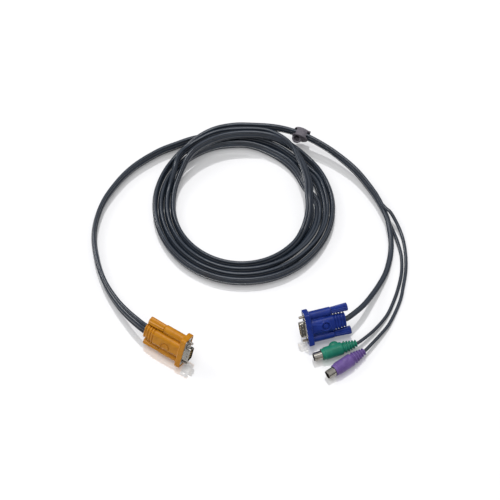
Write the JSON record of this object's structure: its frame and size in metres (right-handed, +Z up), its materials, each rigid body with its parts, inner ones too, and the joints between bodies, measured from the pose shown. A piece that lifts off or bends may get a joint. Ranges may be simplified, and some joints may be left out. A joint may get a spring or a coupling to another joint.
{
  "type": "keyboard, video and mouse cable",
  "caption": "Coiled console-switch cable: orange D-shaped plug on a flat trunk that splits to a blue monitor plug and round green and purple plugs.",
  "frame": {"origin": "middle of the plan box of the four plugs and the clip, on the table they lie on", "axes": "+Z up from the table; +Y from the plugs towards the far side of the coil; +X from the orange plug's side towards the monitor plug's side"},
  "size_m": [0.3098, 0.2816, 0.0366],
  "materials": {
    "cord_jacket": "satin slate grey flexible vinyl",
    "orange_pvc": "satin moulded orange vinyl",
    "blue_pvc": "satin moulded blue vinyl",
    "green_pvc": "satin moulded green vinyl",
    "purple_pvc": "satin moulded purple vinyl",
    "nickel": "bright nickel plate",
    "gilt_contact": "gilt contact",
    "steel": "plated screw steel",
    "black_insulator": "matt black insulator",
    "grey_clip": "fine-grained dark grey moulding"
  },
  "bodies": {
    "cable": {"console_hood": "orange_pvc", "console_shell": "nickel", "console_insulator": "black_insulator", "monitor_hood": "blue_pvc", "monitor_shell": "nickel", "monitor_insulator": "black_insulator", "monitor_pin_01": "gilt_contact", "monitor_pin_02": "gilt_contact", "monitor_pin_03": "gilt_contact", "monitor_pin_04": "gilt_contact", "monitor_pin_05": "gilt_contact", "monitor_pin_06": "gilt_contact", "monitor_pin_07": "gilt_contact", "monitor_pin_08": "gilt_contact", "monitor_pin_09": "gilt_contact", "monitor_pin_10": "gilt_contact", "monitor_pin_11": "gilt_contact", "monitor_pin_12": "gilt_contact", "monitor_pin_13": "gilt_contact", "monitor_pin_14": "gilt_contact", "monitor_pin_15": "gilt_contact", "mouse_grip": "green_pvc", "mouse_shell": "nickel", "mouse_insulator": "black_insulator", "mouse_pin_1": "nickel", "mouse_pin_2": "nickel", "mouse_pin_3": "nickel", "mouse_pin_4": "nickel", "mouse_pin_5": "nickel", "mouse_pin_6": "nickel", "keyboard_grip": "purple_pvc", "keyboard_shell": "nickel", "keyboard_insulator": "black_insulator", "keyboard_pin_1": "nickel", "keyboard_pin_2": "nickel", "keyboard_pin_3": "nickel", "keyboard_pin_4": "nickel", "keyboard_pin_5": "nickel", "keyboard_pin_6": "nickel", "keyboard_cord_left": "cord_jacket", "keyboard_cord_right": "cord_jacket", "video_cord_left": "cord_jacket", "video_cord_right": "cord_jacket", "mouse_cord_left": "cord_jacket", "mouse_cord_right": "cord_jacket", "cord_coil": "cord_jacket", "cord_clip": "grey_clip"},
    "console_thumbscrew_a": {"console_knob_a": "orange_pvc", "console_screw_a": "steel"},
    "console_thumbscrew_b": {"console_knob_b": "orange_pvc", "console_screw_b": "steel"},
    "monitor_thumbscrew_a": {"monitor_knob_a": "blue_pvc", "monitor_screw_a": "steel"},
    "monitor_thumbscrew_b": {"monitor_knob_b": "blue_pvc", "monitor_screw_b": "steel"}
  },
  "joints": [
    {"name": "console_thumbscrew_a_turn", "type": "hinge", "parent": "cable", "child": "console_thumbscrew_a", "pos_m": [-0.06863, -0.11947, 0.00686], "axis": [0.8387, -0.5446, 0], "continuous": true},
    {"name": "console_thumbscrew_b_turn", "type": "hinge", "parent": "cable", "child": "console_thumbscrew_b", "pos_m": [-0.06309, -0.11095, 0.0297], "axis": [0.8387, -0.5446, 0], "continuous": true},
    {"name": "monitor_thumbscrew_a_turn", "type": "hinge", "parent": "cable", "child": "monitor_thumbscrew_a", "pos_m": [0.04738, -0.08213, 0.02789], "axis": [-0.9636, -0.2672, 0], "continuous": true},
    {"name": "monitor_thumbscrew_b_turn", "type": "hinge", "parent": "cable", "child": "monitor_thumbscrew_b", "pos_m": [0.05131, -0.09629, 0.00766], "axis": [-0.9636, -0.2672, 0], "continuous": true}
  ]
}
